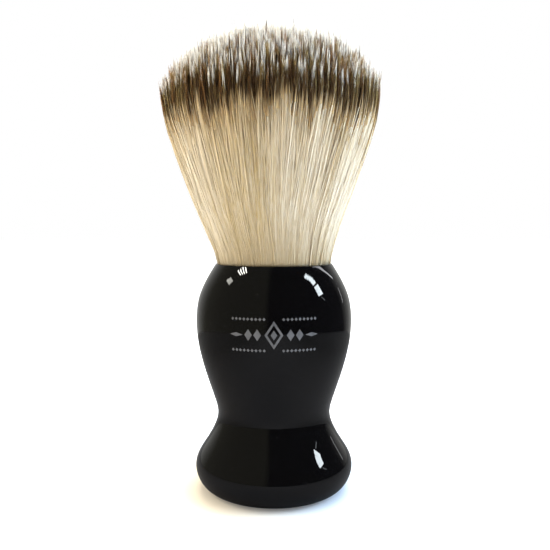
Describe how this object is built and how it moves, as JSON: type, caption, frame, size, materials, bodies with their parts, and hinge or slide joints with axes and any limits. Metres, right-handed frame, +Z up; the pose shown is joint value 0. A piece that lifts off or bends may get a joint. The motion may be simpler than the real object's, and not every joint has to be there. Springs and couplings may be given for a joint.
{
  "type": "shaving brush",
  "caption": "Shaving brush with a glossy black turned handle and a fan-shaped two-band synthetic knot glued into it, standing on its weighted foot.",
  "frame": {"origin": "centre of the flat face that the brush stands on", "axes": "+Z up the brush's axis, towards the bristle tips; -Y is the front, where the ornament is"},
  "size_m": [0.0496, 0.0496, 0.103],
  "materials": {
    "handle_resin": "polished black cast resin",
    "base_plastic": "fine turned black plastic",
    "weight_steel": "sawn and turned bar stock",
    "adhesive": "cured clear adhesive, slightly yellow",
    "ring_plastic": "moulded grey plastic",
    "root_resin": "cast amber resin with the fibres' roots in it",
    "thread": "waxed twisted thread",
    "fibre": "fine tapered fibres, cream with a dark brown band and pale tips"
  },
  "bodies": {
    "root": {"handle_body": "handle_resin", "base_plug": "base_plastic", "weight_slug": "weight_steel", "weight_adhesive": "adhesive", "knot_adhesive": "adhesive", "knot_ring": "ring_plastic", "root_plug": "root_resin", "binding_thread": "thread", "bristle_bundle": "fibre"}
  },
  "joints": []
}
